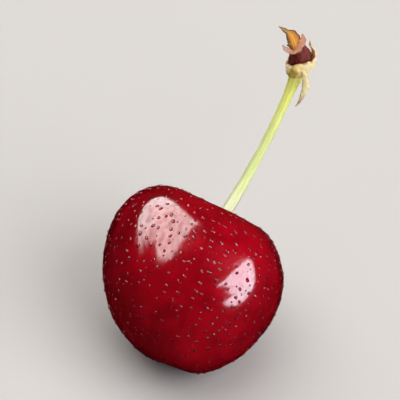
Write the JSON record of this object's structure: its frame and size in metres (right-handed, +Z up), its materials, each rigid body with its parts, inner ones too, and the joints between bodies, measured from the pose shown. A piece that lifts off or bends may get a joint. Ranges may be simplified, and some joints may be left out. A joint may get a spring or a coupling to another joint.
{
  "type": "cherry",
  "caption": "Whole picked sweet cherry lying on its cheek, with its stem and the dry bud scales at the stem's end.",
  "frame": {"origin": "in the small flat spot under the fruit, where it rests", "axes": "+Z up from the surface it rests on, +X to the side the stem leans to, +Y to the side the stem's end of the fruit is laid back to"},
  "size_m": [0.0296, 0.0344, 0.0409],
  "materials": {
    "skin": "glossy thin fruit skin, deep crimson",
    "stem": "satin green stem",
    "cup": "dry straw-coloured scale, matt",
    "core": "dark wine-brown bud tissue, matt",
    "pointed_scale": "dry orange-brown scale, matt",
    "torn_scale": "dry pinkish-tan scale, matt",
    "hanging_scale": "dry straw-coloured scale, matt"
  },
  "bodies": {
    "root": {"fruit": "skin", "stem": "stem", "scale_cup": "cup", "bud_core": "core", "scale_pointed": "pointed_scale", "scale_torn": "torn_scale", "scale_hanging": "hanging_scale"}
  },
  "joints": []
}
